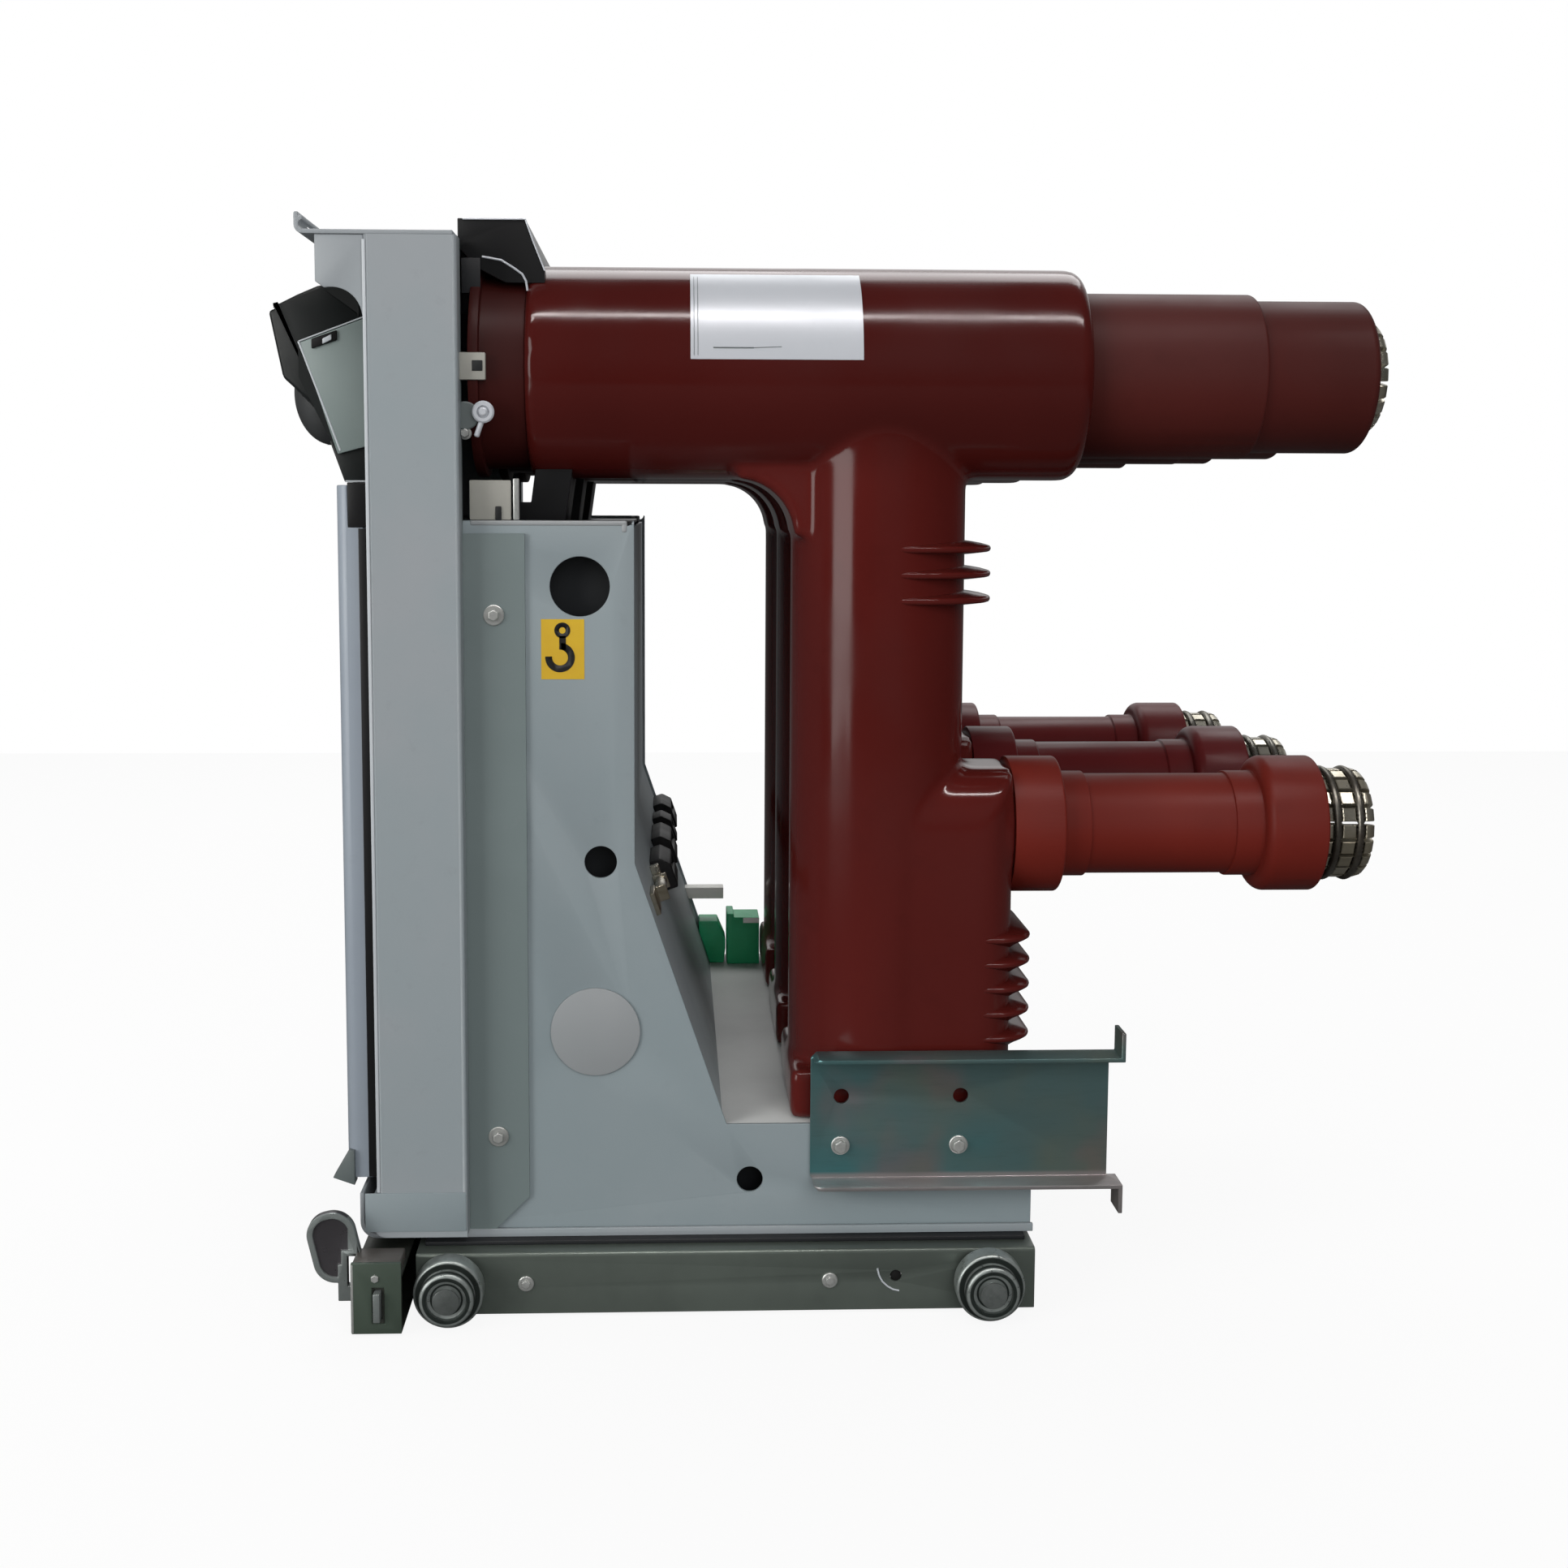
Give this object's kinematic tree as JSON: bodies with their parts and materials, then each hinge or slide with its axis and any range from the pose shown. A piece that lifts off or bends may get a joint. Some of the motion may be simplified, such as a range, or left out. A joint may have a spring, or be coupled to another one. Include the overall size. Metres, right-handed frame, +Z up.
{
  "type": "withdrawable vacuum contactor truck",
  "caption": "Medium-voltage vacuum contactor with integral fuse tubes on a wheeled withdrawable truck, with sprung finger contacts at the rear.",
  "frame": {"origin": "on the floor under the middle of the length and the width", "axes": "+X towards the contact arms (rear), -X towards the operator, +Y to the operator's left, +Z up"},
  "size_m": [0.6628, 0.512, 0.6405],
  "materials": {
    "grey_sheet": "grey coated sheet steel, semi-gloss",
    "red_resin": "dark red cast epoxy resin, glossy",
    "silvered_copper": "silver-plated copper, slightly tarnished",
    "zinc_sheet": "zinc plated sheet steel",
    "dark_steel": "dark passivated steel, satin",
    "bright_steel": "bright turned steel",
    "black_sheet": "black coated sheet steel, satin",
    "black_plastic": "black moulded plastic, matt",
    "green_plastic": "green moulded insulating plastic"
  },
  "bodies": {
    "truck": {"side_plate_left": "grey_sheet", "side_plate_right": "grey_sheet", "base_tray": "grey_sheet", "deck": "grey_sheet", "rear_cover": "grey_sheet", "top_cover": "black_sheet", "hole_plugs": "zinc_sheet", "column_left": "grey_sheet", "column_right": "grey_sheet", "front_cover": "grey_sheet", "front_cap": "black_sheet", "front_panel": "grey_sheet", "top_lip": "grey_sheet", "lip_cheeks": "grey_sheet", "hood": "black_sheet", "tube_supports": "black_sheet", "pole_left": "red_resin", "pole_middle": "red_resin", "pole_right": "red_resin", "fuse_cap_left": "red_resin", "fuse_cap_middle": "red_resin", "fuse_cap_right": "red_resin", "upper_sleeve_left": "red_resin", "upper_sleeve_middle": "red_resin", "upper_sleeve_right": "red_resin", "contact_arm_left": "red_resin", "contact_arm_middle": "red_resin", "contact_arm_right": "red_resin", "upper_contact_left": "silvered_copper", "upper_contact_middle": "silvered_copper", "upper_contact_right": "silvered_copper", "lower_contact_left": "silvered_copper", "lower_contact_middle": "silvered_copper", "lower_contact_right": "silvered_copper", "shutter_bracket_left": "zinc_sheet", "shutter_bracket_right": "zinc_sheet", "linkage": "bright_steel", "link_clips": "black_plastic", "indicator_bar": "zinc_sheet", "deck_insulators": "green_plastic", "rail_left": "dark_steel", "rail_right": "dark_steel", "chassis_plate": "dark_steel", "nut_bar": "dark_steel", "axle_pins": "bright_steel", "plug_bracket": "grey_sheet", "control_plug": "black_plastic", "plug_boot": "black_plastic"},
    "crossbeam": {"crossbeam": "dark_steel", "guide_rods": "bright_steel", "lead_screw": "bright_steel"},
    "tongue_left": {"tongue_left": "dark_steel"},
    "tongue_right": {"tongue_right": "dark_steel"},
    "wheel_front_left": {"wheel_front_left": "dark_steel"},
    "wheel_front_right": {"wheel_front_right": "dark_steel"},
    "wheel_rear_left": {"wheel_rear_left": "dark_steel"},
    "wheel_rear_right": {"wheel_rear_right": "dark_steel"}
  },
  "joints": [
    {"name": "racking_slide", "type": "slide", "parent": "truck", "child": "crossbeam", "axis": [-1, 0, 0], "range_m": [0, 0.2]},
    {"name": "tongue_left_slide", "type": "slide", "parent": "crossbeam", "child": "tongue_left", "axis": [0, -1, 0], "range_m": [0, 0.015], "stiffness_N_per_m": 300, "springref_m": -0.02},
    {"name": "tongue_right_slide", "type": "slide", "parent": "crossbeam", "child": "tongue_right", "axis": [0, 1, 0], "range_m": [0, 0.015], "stiffness_N_per_m": 300, "springref_m": -0.02},
    {"name": "wheel_front_left_spin", "type": "hinge", "parent": "truck", "child": "wheel_front_left", "pos_m": [-0.2231, 0.2405, 0.0203], "axis": [0, 1, 0], "continuous": true},
    {"name": "wheel_front_right_spin", "type": "hinge", "parent": "truck", "child": "wheel_front_right", "pos_m": [-0.2231, -0.2405, 0.0203], "axis": [0, 1, 0], "continuous": true},
    {"name": "wheel_rear_left_spin", "type": "hinge", "parent": "truck", "child": "wheel_rear_left", "pos_m": [0.0937, 0.2405, 0.0203], "axis": [0, 1, 0], "continuous": true},
    {"name": "wheel_rear_right_spin", "type": "hinge", "parent": "truck", "child": "wheel_rear_right", "pos_m": [0.0937, -0.2405, 0.0203], "axis": [0, 1, 0], "continuous": true}
  ]
}
